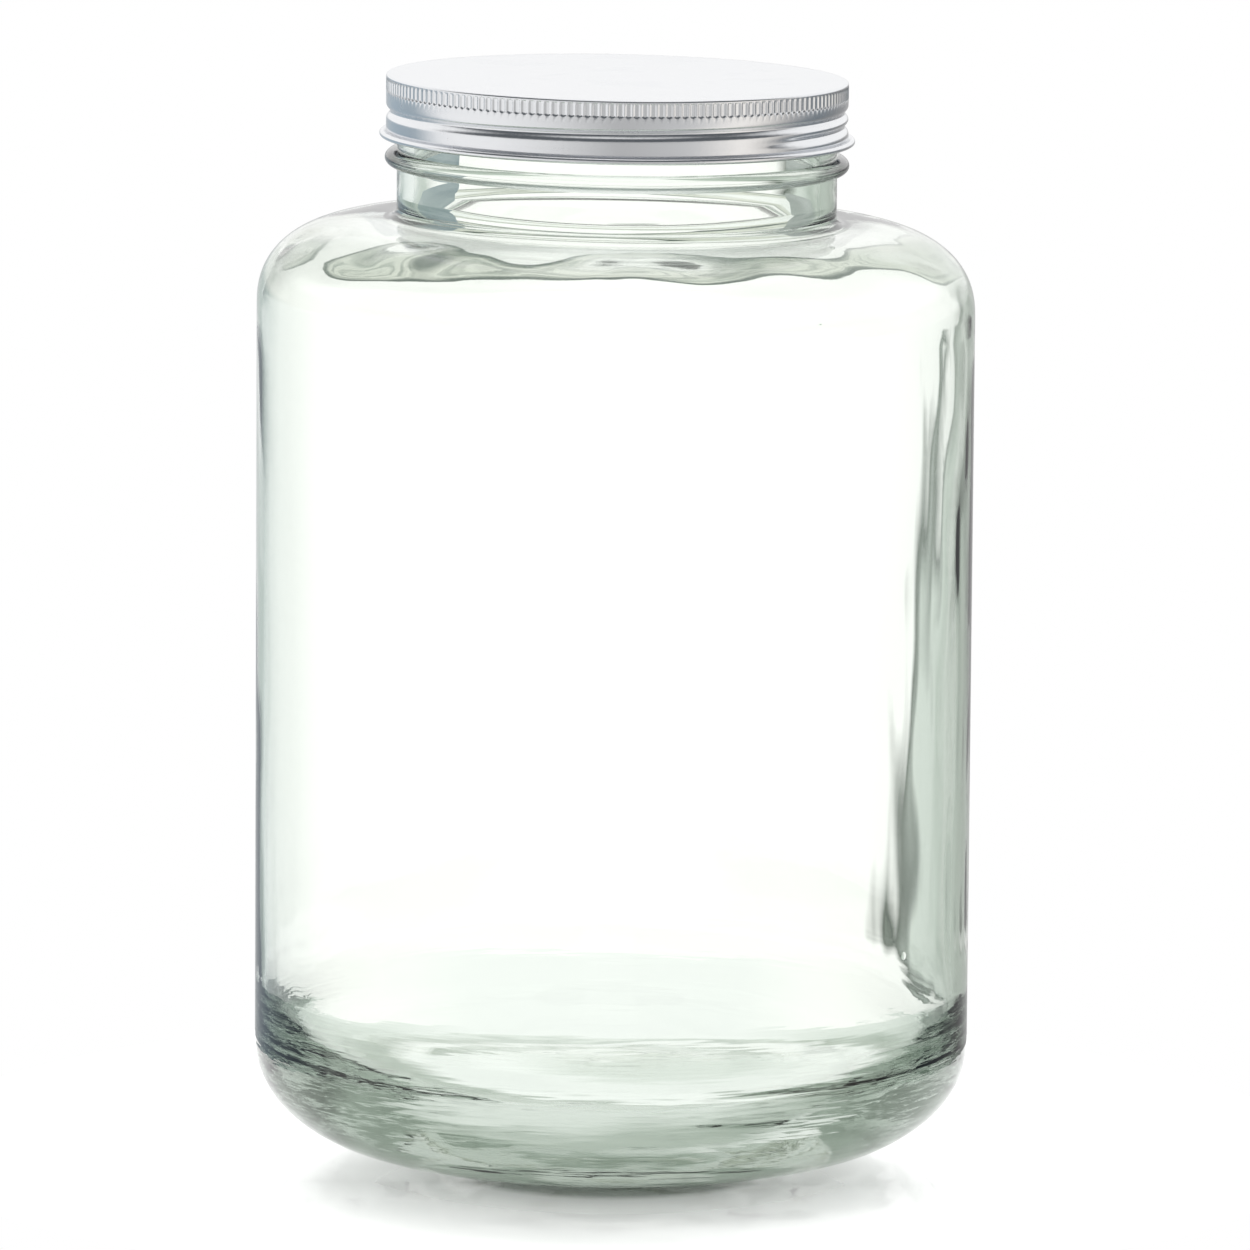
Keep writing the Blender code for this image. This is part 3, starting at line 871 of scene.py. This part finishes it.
def streaky_tone(nodes, links, place):
    """The tone above the screen, with darker level streaks."""
    drawn = add_node(nodes, "ShaderNodeVectorMath", operation="MULTIPLY")
    drawn.inputs[1].default_value = STREAK_DRAWN
    links.new(place, drawn.inputs[0])
    cloud = add_node(nodes, "ShaderNodeTexNoise", Scale=1.0, Detail=3.0)
    links.new(drawn.outputs["Vector"], cloud.inputs["Vector"])
    streaks = rising(nodes, links, cloud.outputs["Fac"], STREAK_SHARE)
    return blend(nodes, links, streaks, ABOVE_SCREEN, STREAK_TONE)


def bent_tones(nodes, links, place, parts):
    """What shows through the glass: a white screen behind, its dim edges and the dim room."""
    across, away, up = (parts.outputs[axis] for axis in "XYZ")
    tones = tone_ring(nodes, links, across, away, room_tones(ROOM_BELOW))
    level = tone_ring(nodes, links, across, away, room_tones(ROOM_LEVEL))
    for reach in LEVEL_REACHES:
        tones = blend(nodes, links, rising(nodes, links, up, reach), tones, level)
    high = tone_ring(nodes, links, across, away, room_tones(ROOM_ABOVE))
    tones = blend(nodes, links, rising(nodes, links, up, HIGH_REACH), tones, high)
    aside = add_node(nodes, "ShaderNodeMath", operation="ABSOLUTE")
    links.new(across, aside.inputs[0])
    middle = rising(nodes, links, aside.outputs["Value"], SCREEN_HALF_WIDTH[::-1])
    right = add_node(nodes, "ShaderNodeMapRange", From_Max=DROP_WIDTH, To_Max=SCREEN_DROP)
    links.new(across, right.inputs["Value"])
    up = added(nodes, links, up, right.outputs["Result"])
    streaky = streaky_tone(nodes, links, place)
    for tone, reach in ((SCREEN_EDGE, EDGE_REACH), (streaky, ABOVE_REACH), (SCREEN_TOP, TOP_REACH)):
        share = product(nodes, links, rising(nodes, links, up, reach), middle)
        tones = blend(nodes, links, share, tones, tone)
    return tones


def make_studio():
    """A white light tent, with the tones that the metal mirrors and the glass bends into view."""
    world = bpy.data.worlds.new("studio")
    bpy.context.scene.world = world
    world.use_nodes = True
    nodes, links = world.node_tree.nodes, world.node_tree.links
    path = add_node(nodes, "ShaderNodeLightPath")
    place = add_node(nodes, "ShaderNodeTexCoord").outputs["Generated"]
    parts = add_node(nodes, "ShaderNodeSeparateXYZ")
    links.new(place, parts.inputs["Vector"])
    mirrored = mirrored_tones(nodes, links, parts)
    tone = blend(nodes, links, path.outputs["Is Glossy Ray"], (1.0, 1.0, 1.0), mirrored)
    bent = bent_tones(nodes, links, place, parts)
    tone = blend(nodes, links, path.outputs["Is Transmission Ray"], tone, bent)
    links.new(tone, nodes["Background"].inputs["Color"])
    brighter = add_node(nodes, "ShaderNodeMath", operation="MULTIPLY_ADD")
    links.new(path.outputs["Is Transmission Ray"], brighter.inputs[0])
    brighter.inputs[1].default_value = THROUGH_GLASS_GLOW
    brighter.inputs[2].default_value = 1.0
    links.new(brighter.outputs["Value"], nodes["Background"].inputs["Strength"])
    bpy.context.scene.view_settings.view_transform = "Standard"
    cycles = bpy.context.scene.cycles
    cycles.max_bounces = cycles.transmission_bounces = LIGHT_BOUNCES
    cycles.glossy_bounces = MIRROR_BOUNCES
    make_floor()
    for name, low, high, tone in FLAGS:
        flag(name, low, high, tone)
    area_light("overhead", OVERHEAD_PLACE, (0, 0, 0), OVERHEAD_SIZE, OVERHEAD_POWER)


def make_camera():
    """The photograph's view: from just above the lid, slightly tipped."""
    data = bpy.data.cameras.new("camera")
    camera = bpy.data.objects.new("camera", data)
    bpy.context.scene.collection.objects.link(camera)
    data.sensor_width, data.lens = 36.0, CAMERA_LENS
    camera.location = CAMERA_PLACE
    camera.rotation_euler = (math.radians(90 - LOOK_DOWN), 0, math.radians(LOOK_ASIDE))
    camera.rotation_euler.rotate_axis("Z", math.radians(CAMERA_ROLL))
    bpy.context.scene.camera = camera


make_camera()
make_studio()
make_glass_jar(clear_glass())
make_lid(satin_aluminium())
